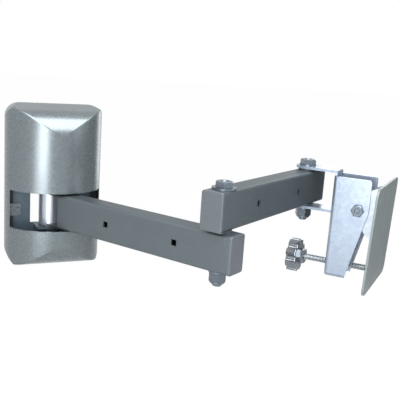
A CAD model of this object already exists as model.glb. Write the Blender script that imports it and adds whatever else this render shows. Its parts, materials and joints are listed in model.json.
import json
from math import cos, pi, radians, sin

import bpy
from mathutils import Matrix, Vector


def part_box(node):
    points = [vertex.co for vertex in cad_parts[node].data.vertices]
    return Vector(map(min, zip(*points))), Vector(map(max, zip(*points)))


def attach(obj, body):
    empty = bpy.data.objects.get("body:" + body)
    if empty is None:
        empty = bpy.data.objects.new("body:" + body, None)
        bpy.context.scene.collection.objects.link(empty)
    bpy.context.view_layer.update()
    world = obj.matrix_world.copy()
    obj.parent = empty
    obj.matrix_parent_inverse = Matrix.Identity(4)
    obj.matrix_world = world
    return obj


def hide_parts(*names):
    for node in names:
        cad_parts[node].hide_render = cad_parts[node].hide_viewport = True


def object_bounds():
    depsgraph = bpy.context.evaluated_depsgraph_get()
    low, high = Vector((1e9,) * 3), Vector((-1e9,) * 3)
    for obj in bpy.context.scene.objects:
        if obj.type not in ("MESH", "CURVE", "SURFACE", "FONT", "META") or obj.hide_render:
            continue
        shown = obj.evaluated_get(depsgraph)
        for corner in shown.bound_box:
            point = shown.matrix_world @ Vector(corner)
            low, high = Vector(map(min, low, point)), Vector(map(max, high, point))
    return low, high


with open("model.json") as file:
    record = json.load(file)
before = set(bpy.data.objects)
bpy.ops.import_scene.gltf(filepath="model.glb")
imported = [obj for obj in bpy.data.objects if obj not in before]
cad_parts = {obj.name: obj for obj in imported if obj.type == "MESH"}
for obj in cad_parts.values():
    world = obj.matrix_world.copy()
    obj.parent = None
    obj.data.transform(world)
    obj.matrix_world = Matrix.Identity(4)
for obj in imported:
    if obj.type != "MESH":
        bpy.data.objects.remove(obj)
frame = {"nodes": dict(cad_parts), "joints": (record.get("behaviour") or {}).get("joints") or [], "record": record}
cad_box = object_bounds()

# Double-arm TV wall mount. Metres, +Z up, +Y into the wall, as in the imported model.
NODES = frame["nodes"]
JOINTS = {joint["name"]: joint for joint in frame["joints"]}
BODY_OF = {node: body for body, nodes in frame["record"]["behaviour"]["bodies"].items() for node in nodes}
MM = 0.001

# Thread of the tilt rod, and how finely it is drawn
ROD_PITCH = 1.25 * MM
THREAD_DEPTH_SHARE = 0.6
THREAD_BEVEL_SHARE = 0.8
THREAD_FLANK = 2.3
THREAD_ROWS_PER_TURN = 8
THREAD_SIDES = 29
CLOSED_END = 1e-7
WELD_DISTANCE = 1e-6

# Camera that matches the photograph: place in metres, turns in radians, lens in millimetres
CAMERA_PLACE = (-0.1607, -0.7819, 0.1585)
CAMERA_YAW = 0.432
CAMERA_PITCH = 0.210
CAMERA_ROLL = -0.069
CAMERA_LENS = 58.47
CAMERA_SENSOR = 36
CAMERA_NEAR = 0.01

# Studio: what the lamps face, and the floor under the mount
LAMP_TARGET = Vector((0.12, -0.12, -0.03))
AMBIENT_COLOUR = (0.94, 0.97, 1.0, 1)
AMBIENT_STRENGTH = 0.225
FLOOR_DROP = 0.22
FLOOR_REACH = 12
FLOOR_COLOUR = (0.93, 0.93, 0.93, 1)
FLOOR_WHITE_SHARE = 0.985
CARD_COLOUR = (0.10, 0.11, 0.12, 1)

# Coats, in noise cells a metre: how their clouds, patches, grain and scuffs are drawn
CLOUD_ROUGHNESS = -1.2
ZINC_BROAD_SCALE = 22.0
ZINC_GRAIN_SCALE = 1500.0
ZINC_EDGES = (0.3, 0.7)
ZINC_PATCH_SHARE = 0.55
ZINC_BROAD_SHARE = 0.3
ZINC_GRAIN_SHARE = 0.15
SCUFF_DIRECTIONS = ((0.35, (700, 26, 700)), (-0.8, (24, 620, 620)))
SCUFF_EDGES = (0.70, 0.78)
SCUFF_AREA_SCALE = 35.0
SCUFF_AREA_EDGES = (0.5, 0.65)
SCUFF_ROUGHNESS = 0.15

# Sockets of the Mix node in colour mode, which share their names with its other modes
MIX_AMOUNT = 0
MIX_FIRST = 6
MIX_SECOND = 7
MIX_RESULT = 2


# Colours and finishes

def node_group(name, inputs, outputs):
    """Empty shader group with named sockets, and its input and output nodes."""
    group = bpy.data.node_groups.new(name, "ShaderNodeTree")
    for label, kind, value in inputs:
        socket = group.interface.new_socket(name=label, in_out="INPUT", socket_type=kind)
        if value is not None:
            socket.default_value = value
    for label, kind in outputs:
        group.interface.new_socket(name=label, in_out="OUTPUT", socket_type=kind)
    return group, group.nodes.new("NodeGroupInput"), group.nodes.new("NodeGroupOutput")


def noise(tree, vector, scale, detail=2.0, roughness=0.5, distortion=0.0):
    """Noise texture on the given coordinates; scale may be a number or an output socket."""
    texture = tree.nodes.new("ShaderNodeTexNoise")
    tree.links.new(vector, texture.inputs["Vector"])
    texture.inputs["Detail"].default_value = detail
    texture.inputs["Roughness"].default_value = roughness
    texture.inputs["Distortion"].default_value = distortion
    plug(tree, texture.inputs["Scale"], scale)
    return texture.outputs["Fac"]


def plug(tree, socket, value):
    """Link a socket, or set it where the value is a number or a colour."""
    if isinstance(value, bpy.types.NodeSocket):
        tree.links.new(value, socket)
    else:
        socket.default_value = value


def math_node(tree, operation, first, second, clamp=False):
    """Sum, product or other operation on two sockets or numbers."""
    node = tree.nodes.new("ShaderNodeMath")
    node.operation = operation
    node.use_clamp = clamp
    plug(tree, node.inputs[0], first)
    plug(tree, node.inputs[1], second)
    return node.outputs[0]


def remap(tree, value, low, high, new_low, new_high, smooth=False):
    """The value's range low to high stretched to new_low to new_high."""
    node = tree.nodes.new("ShaderNodeMapRange")
    node.interpolation_type = "SMOOTHSTEP" if smooth else "LINEAR"
    plug(tree, node.inputs["Value"], value)
    plug(tree, node.inputs["From Min"], low)
    plug(tree, node.inputs["From Max"], high)
    plug(tree, node.inputs["To Min"], new_low)
    plug(tree, node.inputs["To Max"], new_high)
    return node.outputs["Result"]


def blend_colour(tree, amount, first, second):
    """First colour at amount 0, second at amount 1."""
    node = tree.nodes.new("ShaderNodeMix")
    node.data_type = "RGBA"
    plug(tree, node.inputs[MIX_AMOUNT], amount)
    plug(tree, node.inputs[MIX_FIRST], first)
    plug(tree, node.inputs[MIX_SECOND], second)
    return node.outputs[MIX_RESULT]


def swing(tree, value, amount):
    """How far a 0 to 1 value lies from its middle, times the amount."""
    return math_node(tree, "MULTIPLY", math_node(tree, "SUBTRACT", value, 0.5), amount)


def grain_group():
    """Fine flecks in a metallic coat, over soft clouds a few centimetres wide."""
    tree, given, result = node_group(
        "fleck_grain",
        [
            ("Vector", "NodeSocketVector", None),
            ("Base", "NodeSocketColor", (0.3, 0.3, 0.3, 1)),
            ("Fleck Scale", "NodeSocketFloat", 1400.0),
            ("Fleck Amount", "NodeSocketFloat", 0.1),
            ("Cloud Scale", "NodeSocketFloat", 30.0),
            ("Cloud Amount", "NodeSocketFloat", 0.06),
            ("Rough", "NodeSocketFloat", 0.4),
        ],
        [("Color", "NodeSocketColor"), ("Roughness", "NodeSocketFloat"), ("Height", "NodeSocketFloat")],
    )
    flecks = noise(tree, given.outputs["Vector"], given.outputs["Fleck Scale"], detail=3, roughness=0.7)
    clouds = noise(tree, given.outputs["Vector"], given.outputs["Cloud Scale"], detail=3, roughness=0.55)
    fleck_shift = swing(tree, flecks, given.outputs["Fleck Amount"])
    cloud_shift = swing(tree, clouds, given.outputs["Cloud Amount"])
    shift = math_node(tree, "ADD", fleck_shift, cloud_shift)
    level = math_node(tree, "ADD", math_node(tree, "MULTIPLY", shift, 2.0), 1.0)
    scaled = tree.nodes.new("ShaderNodeVectorMath")
    scaled.operation = "SCALE"
    tree.links.new(given.outputs["Base"], scaled.inputs[0])
    tree.links.new(level, scaled.inputs["Scale"])
    tree.links.new(scaled.outputs[0], result.inputs["Color"])
    cloud_rough = math_node(tree, "MULTIPLY", cloud_shift, CLOUD_ROUGHNESS)
    rough = math_node(tree, "ADD", given.outputs["Rough"], cloud_rough)
    tree.links.new(math_node(tree, "ADD", rough, fleck_shift, clamp=True), result.inputs["Roughness"])
    tree.links.new(flecks, result.inputs["Height"])
    return tree


def zinc_group():
    """Zinc coat: pale and darker patches a few millimetres wide under fine grain."""
    tree, given, result = node_group(
        "zinc_mottle",
        [
            ("Vector", "NodeSocketVector", None),
            ("Pale", "NodeSocketColor", (0.6, 0.6, 0.6, 1)),
            ("Dark", "NodeSocketColor", (0.4, 0.4, 0.4, 1)),
            ("Patch Scale", "NodeSocketFloat", 160.0),
            ("Rough", "NodeSocketFloat", 0.36),
            ("Rough Spread", "NodeSocketFloat", 0.14),
        ],
        [("Color", "NodeSocketColor"), ("Roughness", "NodeSocketFloat"), ("Height", "NodeSocketFloat")],
    )
    vector = given.outputs["Vector"]
    patches = noise(tree, vector, given.outputs["Patch Scale"], detail=5, roughness=0.62, distortion=0.6)
    broad = noise(tree, vector, ZINC_BROAD_SCALE, detail=2)
    grain = noise(tree, vector, ZINC_GRAIN_SCALE, detail=2)
    patch_share = remap(tree, patches, *ZINC_EDGES, 0, ZINC_PATCH_SHARE, smooth=True)
    broad_share = remap(tree, broad, *ZINC_EDGES, 0, ZINC_BROAD_SHARE)
    grain_share = remap(tree, grain, *ZINC_EDGES, 0, ZINC_GRAIN_SHARE)
    amount = math_node(tree, "ADD", patch_share, broad_share)
    amount = math_node(tree, "ADD", amount, grain_share, clamp=True)
    colour = blend_colour(tree, amount, given.outputs["Pale"], given.outputs["Dark"])
    tree.links.new(colour, result.inputs["Color"])
    spread = swing(tree, amount, given.outputs["Rough Spread"])
    rough = math_node(tree, "ADD", given.outputs["Rough"], spread, clamp=True)
    tree.links.new(rough, result.inputs["Roughness"])
    tree.links.new(math_node(tree, "ADD", grain, patches), result.inputs["Height"])
    return tree


def scuff_group():
    """Sparse hairline scuffs in two crossing directions: 1 on a scuff, 0 elsewhere."""
    tree, given, result = node_group(
        "hairline_scuffs",
        [("Vector", "NodeSocketVector", None), ("Amount", "NodeSocketFloat", 0.5)],
        [("Mask", "NodeSocketFloat")],
    )
    masks = []
    for angle, stretch in SCUFF_DIRECTIONS:
        turned = tree.nodes.new("ShaderNodeMapping")
        turned.inputs["Rotation"].default_value = (angle, angle / 2, angle)
        turned.inputs["Scale"].default_value = stretch
        tree.links.new(given.outputs["Vector"], turned.inputs["Vector"])
        lines = noise(tree, turned.outputs["Vector"], 1.0, detail=1)
        masks.append(remap(tree, lines, *SCUFF_EDGES, 0, 1, smooth=True))
    areas = noise(tree, given.outputs["Vector"], SCUFF_AREA_SCALE)
    where = remap(tree, areas, *SCUFF_AREA_EDGES, 0, 1, smooth=True)
    either = math_node(tree, "MAXIMUM", masks[0], masks[1])
    marked = math_node(tree, "MULTIPLY", either, where)
    mask = math_node(tree, "MULTIPLY", marked, given.outputs["Amount"], clamp=True)
    tree.links.new(mask, result.inputs["Mask"])
    return tree


GRAIN = grain_group()
ZINC = zinc_group()
SCUFFS = scuff_group()


def finish(name, coat, values, metallic, bump, scuff_colour=None, scuffs=0.0, specular_tint=None):
    """Material from one coat group, with scuffs over it."""
    material = bpy.data.materials.new(name)
    material.use_nodes = True
    tree = material.node_tree
    shader = tree.nodes["Principled BSDF"]
    shader.inputs["Metallic"].default_value = metallic
    if specular_tint:
        shader.inputs["Specular Tint"].default_value = specular_tint
    place = tree.nodes.new("ShaderNodeTexCoord").outputs["Object"]
    layer = tree.nodes.new("ShaderNodeGroup")
    layer.node_tree = coat
    tree.links.new(place, layer.inputs["Vector"])
    for label, value in values.items():
        layer.inputs[label].default_value = value
    colour, rough = layer.outputs["Color"], layer.outputs["Roughness"]
    if scuffs:
        marks = tree.nodes.new("ShaderNodeGroup")
        marks.node_tree = SCUFFS
        marks.inputs["Amount"].default_value = scuffs
        tree.links.new(place, marks.inputs["Vector"])
        colour = blend_colour(tree, marks.outputs["Mask"], colour, scuff_colour)
        roughened = math_node(tree, "MULTIPLY", marks.outputs["Mask"], SCUFF_ROUGHNESS)
        rough = math_node(tree, "ADD", rough, roughened, clamp=True)
    tree.links.new(colour, shader.inputs["Base Color"])
    tree.links.new(rough, shader.inputs["Roughness"])
    relief = tree.nodes.new("ShaderNodeBump")
    relief.inputs["Distance"].default_value = bump
    relief.inputs["Strength"].default_value = 1.0
    tree.links.new(layer.outputs["Height"], relief.inputs["Height"])
    tree.links.new(relief.outputs["Normal"], shader.inputs["Normal"])
    return material


ARM_PAINT = finish(
    "silver_arm_paint",
    GRAIN,
    {
        "Base": (0.106, 0.127, 0.139, 1),
        "Fleck Scale": 1000,
        "Fleck Amount": 0.30,
        "Cloud Amount": 0.08,
        "Rough": 0.40,
    },
    metallic=0.75,
    bump=0.04 * MM,
    scuffs=0.3,
    scuff_colour=(0.30, 0.32, 0.34, 1),
    specular_tint=(0.55, 0.55, 0.55, 1),
)
PIVOT_PAINT = finish(
    "pale_pivot_tube_paint",
    GRAIN,
    {
        "Base": (0.45, 0.49, 0.56, 1),
        "Fleck Scale": 1300,
        "Fleck Amount": 0.14,
        "Cloud Amount": 0.08,
        "Rough": 0.30,
    },
    metallic=0.85,
    bump=0.03 * MM,
)
COVER_PAINT = finish(
    "silver_cover_moulding",
    GRAIN,
    {
        "Base": (0.126, 0.148, 0.159, 1),
        "Fleck Scale": 620,
        "Fleck Amount": 0.34,
        "Cloud Amount": 0.06,
        "Rough": 0.28,
    },
    metallic=0.65,
    bump=0.02 * MM,
    scuffs=0.15,
    scuff_colour=(0.32, 0.34, 0.36, 1),
)
CHANNEL_ZINC = finish(
    "pale_channel_zinc",
    ZINC,
    {"Pale": (0.40, 0.45, 0.50, 1), "Dark": (0.30, 0.345, 0.385, 1), "Patch Scale": 170, "Rough": 0.40},
    metallic=0.8,
    bump=0.03 * MM,
    scuffs=0.35,
    scuff_colour=(0.62, 0.64, 0.66, 1),
)
SHEET_ZINC = finish(
    "zinc_sheet",
    ZINC,
    {"Pale": (0.34, 0.40, 0.48, 1), "Dark": (0.24, 0.285, 0.355, 1), "Patch Scale": 170, "Rough": 0.34},
    metallic=0.85,
    bump=0.03 * MM,
    scuffs=0.35,
    scuff_colour=(0.68, 0.70, 0.72, 1),
)
WALL_ZINC = finish(
    "zinc_wall_plate",
    ZINC,
    {"Pale": (0.083, 0.116, 0.142, 1), "Dark": (0.052, 0.077, 0.097, 1), "Patch Scale": 120, "Rough": 0.45},
    metallic=0.6,
    bump=0.03 * MM,
    scuffs=0.3,
    scuff_colour=(0.45, 0.48, 0.5, 1),
)
FASTENER_ZINC = finish(
    "dull_zinc_fasteners",
    ZINC,
    {
        "Pale": (0.170, 0.200, 0.230, 1),
        "Dark": (0.085, 0.102, 0.123, 1),
        "Patch Scale": 420,
        "Rough": 0.34,
        "Rough Spread": 0.2,
    },
    metallic=0.85,
    bump=0.03 * MM,
)
ROD_ZINC = finish(
    "bright_zinc_rod",
    ZINC,
    {"Pale": (0.50, 0.53, 0.56, 1), "Dark": (0.30, 0.32, 0.34, 1), "Patch Scale": 500, "Rough": 0.28},
    metallic=0.95,
    bump=0.02 * MM,
)
KNOB_PLATING = finish(
    "bright_knob_plating",
    ZINC,
    {
        "Pale": (0.26, 0.282, 0.305, 1),
        "Dark": (0.18, 0.203, 0.225, 1),
        "Patch Scale": 120,
        "Rough": 0.22,
        "Rough Spread": 0.06,
    },
    metallic=1.0,
    bump=0.02 * MM,
)
PLATE_PAINT = finish(
    "grey_plate_paint",
    GRAIN,
    {
        "Base": (0.138, 0.163, 0.166, 1),
        "Fleck Scale": 900,
        "Fleck Amount": 0.10,
        "Cloud Scale": 45,
        "Cloud Amount": 0.10,
        "Rough": 0.5,
    },
    metallic=0.25,
    bump=0.05 * MM,
    scuffs=0.4,
    scuff_colour=(0.3, 0.32, 0.33, 1),
)
CAP_PLASTIC = finish(
    "grey_cap_plastic",
    GRAIN,
    {
        "Base": (0.078, 0.090, 0.101, 1),
        "Fleck Scale": 1500,
        "Fleck Amount": 0.12,
        "Cloud Amount": 0.06,
        "Rough": 0.46,
    },
    metallic=0.3,
    bump=0.05 * MM,
)
BUSH_NYLON = finish(
    "nylon_bushes",
    GRAIN,
    {
        "Base": (0.05, 0.055, 0.06, 1),
        "Fleck Scale": 900,
        "Fleck Amount": 0.08,
        "Cloud Amount": 0.05,
        "Rough": 0.5,
    },
    metallic=0.0,
    bump=0.03 * MM,
)
BLACK_RUBBER = finish(
    "black_foam_and_rubber",
    GRAIN,
    {
        "Base": (0.02, 0.021, 0.023, 1),
        "Fleck Scale": 1100,
        "Fleck Amount": 0.1,
        "Cloud Amount": 0.05,
        "Rough": 0.55,
    },
    metallic=0.0,
    bump=0.05 * MM,
)

# Finish of each CAD node that isn't a bush or a fastener
FINISHES = {
    "wall_bracket": WALL_ZINC,
    "wall_cover": COVER_PAINT,
    "wall_pivot_tube": PIVOT_PAINT,
    "inner_arm_tube": ARM_PAINT,
    "outer_arm_tube": ARM_PAINT,
    "inner_arm_cap": CAP_PLASTIC,
    "outer_arm_near_cap": CAP_PLASTIC,
    "outer_arm_far_cap": CAP_PLASTIC,
    "head_bracket": SHEET_ZINC,
    "plate_channel": CHANNEL_ZINC,
    "tilt_bush": SHEET_ZINC,
    "tv_plate": PLATE_PAINT,
    "tilt_knob": KNOB_PLATING,
    "threaded_rod": ROD_ZINC,
    "rod_tip": BLACK_RUBBER,
    "slot_strips": BLACK_RUBBER,
}


def finish_of(node):
    """Finish of a CAD node; bushes are nylon, and every other small part is a zinc fastener."""
    if "_bush_" in node:
        return BUSH_NYLON
    return FINISHES.get(node, FASTENER_ZINC)


def dress_nodes():
    """Put its finish on every CAD node."""
    for name, node in NODES.items():
        node.data.materials.clear()
        node.data.materials.append(finish_of(name))


# Threads, by a tree that winds one ridge along a shank

def thread_tree():
    """Shank along +Z from its origin: a ridge wound around it, with both ends turned down to a point."""
    tree = bpy.data.node_groups.new("wound_thread", "GeometryNodeTree")
    for label, kind, value in (
        ("Length", "NodeSocketFloat", 0.05),
        ("Radius", "NodeSocketFloat", 0.004),
        ("Pitch", "NodeSocketFloat", ROD_PITCH),
        ("Depth", "NodeSocketFloat", 0.0006),
        ("Bevel", "NodeSocketFloat", 0.001),
        ("Rows", "NodeSocketInt", 200),
        ("Sides", "NodeSocketInt", THREAD_SIDES),
        ("Finish", "NodeSocketMaterial", None),
    ):
        socket = tree.interface.new_socket(name=label, in_out="INPUT", socket_type=kind)
        if value is not None:
            socket.default_value = value
    tree.interface.new_socket(name="Geometry", in_out="OUTPUT", socket_type="NodeSocketGeometry")
    given = tree.nodes.new("NodeGroupInput")
    result = tree.nodes.new("NodeGroupOutput")

    def calc(operation, first, second=0.0):
        return math_node(tree, operation, first, second)

    grid = tree.nodes.new("GeometryNodeMeshGrid")
    tree.links.new(given.outputs["Rows"], grid.inputs["Vertices X"])
    tree.links.new(given.outputs["Sides"], grid.inputs["Vertices Y"])
    grid.inputs["Size X"].default_value = 1
    grid.inputs["Size Y"].default_value = 1
    place = tree.nodes.new("GeometryNodeInputPosition")
    parts = tree.nodes.new("ShaderNodeSeparateXYZ")
    tree.links.new(place.outputs[0], parts.inputs[0])
    along = calc("ADD", parts.outputs["X"], 0.5)
    turn = calc("ADD", parts.outputs["Y"], 0.5)
    height = calc("MULTIPLY", along, given.outputs["Length"])
    phase = calc("FRACT", calc("ADD", calc("DIVIDE", height, given.outputs["Pitch"]), turn))
    ridge = calc("ABSOLUTE", calc("SUBTRACT", phase, 0.5))
    ridge = calc("MINIMUM", calc("MULTIPLY", ridge, THREAD_FLANK), 1.0)
    ridge = calc("MULTIPLY", ridge, given.outputs["Depth"])
    radius = calc("SUBTRACT", given.outputs["Radius"], ridge)
    to_end = calc("MINIMUM", height, calc("SUBTRACT", given.outputs["Length"], height))
    bevelled = calc("ADD", calc("SUBTRACT", given.outputs["Radius"], given.outputs["Bevel"]), to_end)
    radius = calc("MINIMUM", radius, bevelled)
    radius = calc("MULTIPLY", radius, calc("GREATER_THAN", to_end, CLOSED_END))
    angle = calc("MULTIPLY", turn, 2 * pi)
    joined = tree.nodes.new("ShaderNodeCombineXYZ")
    tree.links.new(calc("MULTIPLY", calc("COSINE", angle), radius), joined.inputs["X"])
    tree.links.new(calc("MULTIPLY", calc("SINE", angle), radius), joined.inputs["Y"])
    tree.links.new(height, joined.inputs["Z"])
    moved = tree.nodes.new("GeometryNodeSetPosition")
    tree.links.new(grid.outputs["Mesh"], moved.inputs["Geometry"])
    tree.links.new(joined.outputs[0], moved.inputs["Position"])
    merged = tree.nodes.new("GeometryNodeMergeByDistance")
    merged.inputs["Distance"].default_value = WELD_DISTANCE
    tree.links.new(moved.outputs[0], merged.inputs["Geometry"])
    real = tree.nodes.new("GeometryNodeRealizeInstances")
    tree.links.new(merged.outputs[0], real.inputs["Geometry"])
    coated = tree.nodes.new("GeometryNodeSetMaterial")
    tree.links.new(real.outputs[0], coated.inputs["Geometry"])
    tree.links.new(given.outputs["Finish"], coated.inputs["Material"])
    tree.links.new(coated.outputs[0], result.inputs[0])
    return tree


THREAD_TREE = thread_tree()


def grown(name, tree, values):
    """Run a Geometry Nodes tree on an empty mesh and keep its result as a plain mesh object."""
    host = bpy.data.objects.new(name + "_host", bpy.data.meshes.new(name + "_host"))
    bpy.context.scene.collection.objects.link(host)
    modifier = host.modifiers.new("tree", "NODES")
    modifier.node_group = tree
    sockets = {item.name: item.identifier for item in tree.interface.items_tree if item.in_out == "INPUT"}
    for label, value in values.items():
        modifier[sockets[label]] = value
    host.update_tag()
    bpy.context.view_layer.update()
    evaluated = host.evaluated_get(bpy.context.evaluated_depsgraph_get())
    mesh = bpy.data.meshes.new_from_object(evaluated)
    host.modifiers.clear()
    bpy.data.objects.remove(host)
    mesh.name = name
    piece = bpy.data.objects.new(name, mesh)
    bpy.context.scene.collection.objects.link(piece)
    return piece


def facing(direction):
    """Rotation that takes +Z to the direction."""
    return Vector((0, 0, 1)).rotation_difference(Vector(direction)).to_matrix().to_4x4()


def threaded_shank(name, start, direction, length, diameter, pitch, coat):
    """Threaded shank from its start along the direction."""
    piece = grown(
        name,
        THREAD_TREE,
        {
            "Length": length,
            "Radius": diameter / 2,
            "Pitch": pitch,
            "Depth": THREAD_DEPTH_SHARE * pitch,
            "Bevel": THREAD_BEVEL_SHARE * pitch,
            "Rows": int(round(length / pitch * THREAD_ROWS_PER_TURN)) + 1,
            "Sides": THREAD_SIDES,
            "Finish": coat,
        },
    )
    piece.data.transform(Matrix.Translation(start) @ facing(direction))
    return piece


def dress_rod():
    """Threaded rod of the tilt screw, level, from one end of the plain rod to the other."""
    low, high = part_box("threaded_rod")
    axis = Vector(JOINTS["knob_turn"]["axis"]).normalized()
    middle = (low + high) / 2
    corner = (high - low) / 2
    radius = corner.z
    reach = (abs(corner.x * axis.x) + abs(corner.y * axis.y)) - radius * 2 * abs(axis.x * axis.y)
    start = middle - axis * reach
    rod = threaded_shank("rod_thread", start, axis, 2 * reach, 2 * radius, ROD_PITCH, ROD_ZINC)
    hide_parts("threaded_rod")
    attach(rod, BODY_OF["threaded_rod"])


# Studio

def photo_camera():
    """Camera at the photograph's viewing angle."""
    flat = cos(CAMERA_PITCH)
    forward = Vector((sin(CAMERA_YAW) * flat, cos(CAMERA_YAW) * flat, -sin(CAMERA_PITCH)))
    level = Vector((cos(CAMERA_YAW), -sin(CAMERA_YAW), 0))
    down = forward.cross(level)
    right = cos(CAMERA_ROLL) * level + sin(CAMERA_ROLL) * down
    below = -sin(CAMERA_ROLL) * level + cos(CAMERA_ROLL) * down
    lens = bpy.data.cameras.new("photo_camera")
    lens.sensor_width = CAMERA_SENSOR
    lens.lens = CAMERA_LENS
    lens.clip_start = CAMERA_NEAR
    camera = bpy.data.objects.new("photo_camera", lens)
    turn = Matrix((right, -below, -forward)).transposed().to_4x4()
    camera.matrix_world = Matrix.Translation(CAMERA_PLACE) @ turn
    bpy.context.scene.collection.objects.link(camera)
    bpy.context.scene.camera = camera


def facing_mount(azimuth, elevation, distance):
    """Place that faces the middle of the mount; azimuth turns from -Y towards +X, both in degrees."""
    away = Vector((
        sin(radians(azimuth)) * cos(radians(elevation)),
        -cos(radians(azimuth)) * cos(radians(elevation)),
        sin(radians(elevation)),
    ))
    turn = away.to_track_quat("Z", "Y").to_matrix().to_4x4()
    return Matrix.Translation(LAMP_TARGET + away * distance) @ turn


def soft_lamp(name, azimuth, elevation, distance, width, height, power):
    """Soft box that faces the mount, in metres and watts."""
    light = bpy.data.lights.new(name, "AREA")
    light.shape = "RECTANGLE"
    light.size = width
    light.size_y = height
    light.energy = power
    lamp = bpy.data.objects.new(name, light)
    lamp.matrix_world = facing_mount(azimuth, elevation, distance)
    bpy.context.scene.collection.objects.link(lamp)


def flat_card(name, half_width, half_height, level=0.0):
    """Level rectangle around the origin, facing up."""
    mesh = bpy.data.meshes.new(name)
    corners = [
        (-half_width, -half_height, level),
        (half_width, -half_height, level),
        (half_width, half_height, level),
        (-half_width, half_height, level),
    ]
    mesh.from_pydata(corners, [], [(0, 1, 2, 3)])
    card = bpy.data.objects.new(name, mesh)
    bpy.context.scene.collection.objects.link(card)
    return card


def plain_material(name, colour, roughness):
    """Material with one colour, for what stands around the mount."""
    material = bpy.data.materials.new(name)
    material.use_nodes = True
    shader = material.node_tree.nodes["Principled BSDF"]
    shader.inputs["Base Color"].default_value = colour
    shader.inputs["Roughness"].default_value = roughness
    return material


def dark_card(name, azimuth, elevation, distance, width, height):
    """Grey card out of the camera's sight, which darkens what the metal on its side mirrors."""
    card = flat_card(name, width / 2, height / 2)
    card.matrix_world = facing_mount(azimuth, elevation, distance)
    card.data.materials.append(plain_material("dark_card", CARD_COLOUR, roughness=1.0))
    card.visible_camera = False


def seen_white(tree, lit, share=1.0):
    """Shader that camera, mirror and clear rays see as white, by the given share, and lit otherwise."""
    path = tree.nodes.new("ShaderNodeLightPath")
    rays = math_node(tree, "MAXIMUM", path.outputs["Is Camera Ray"], path.outputs["Is Glossy Ray"])
    rays = math_node(tree, "MAXIMUM", rays, path.outputs["Is Transmission Ray"])
    white = tree.nodes.new("ShaderNodeBackground" if lit.type == "BACKGROUND" else "ShaderNodeEmission")
    white.inputs["Color"].default_value = (1, 1, 1, 1)
    white.inputs["Strength"].default_value = 1.0
    mixed = tree.nodes.new("ShaderNodeMixShader")
    tree.links.new(math_node(tree, "MULTIPLY", rays, share), mixed.inputs[0])
    tree.links.new(lit.outputs[0], mixed.inputs[1])
    tree.links.new(white.outputs[0], mixed.inputs[2])
    return mixed.outputs[0]


def studio():
    """White surroundings, pale floor, lamps and one dark card."""
    scene = bpy.context.scene
    scene.view_settings.view_transform = "Standard"
    world = bpy.data.worlds.new("studio")
    world.use_nodes = True
    scene.world = world
    tree = world.node_tree
    ambient = tree.nodes["Background"]
    ambient.inputs["Color"].default_value = AMBIENT_COLOUR
    ambient.inputs["Strength"].default_value = AMBIENT_STRENGTH
    tree.links.new(seen_white(tree, ambient), tree.nodes["World Output"].inputs["Surface"])

    floor = flat_card("floor", FLOOR_REACH, FLOOR_REACH, level=cad_box[0][2] - FLOOR_DROP)
    pale = plain_material("pale_floor", FLOOR_COLOUR, roughness=0.9)
    tree = pale.node_tree
    seen = seen_white(tree, tree.nodes["Principled BSDF"], FLOOR_WHITE_SHARE)
    tree.links.new(seen, tree.nodes["Material Output"].inputs["Surface"])
    floor.data.materials.append(pale)

    soft_lamp("key", azimuth=-33, elevation=14, distance=1.3, width=0.50, height=1.15, power=19)
    soft_lamp("low_left_glow", azimuth=-48, elevation=-5, distance=0.57, width=0.30, height=0.16, power=0.42)
    soft_lamp("top", azimuth=-10, elevation=64, distance=1.3, width=1.3, height=1.3, power=44)
    soft_lamp("right_fill", azimuth=45, elevation=10, distance=1.9, width=0.8, height=1.2, power=4.5)
    soft_lamp("far_right", azimuth=130, elevation=10, distance=1.6, width=0.5, height=1.2, power=5)
    dark_card("right_card", azimuth=97, elevation=-2, distance=0.9, width=0.5, height=1.3)


dress_nodes()
dress_rod()
studio()
photo_camera()
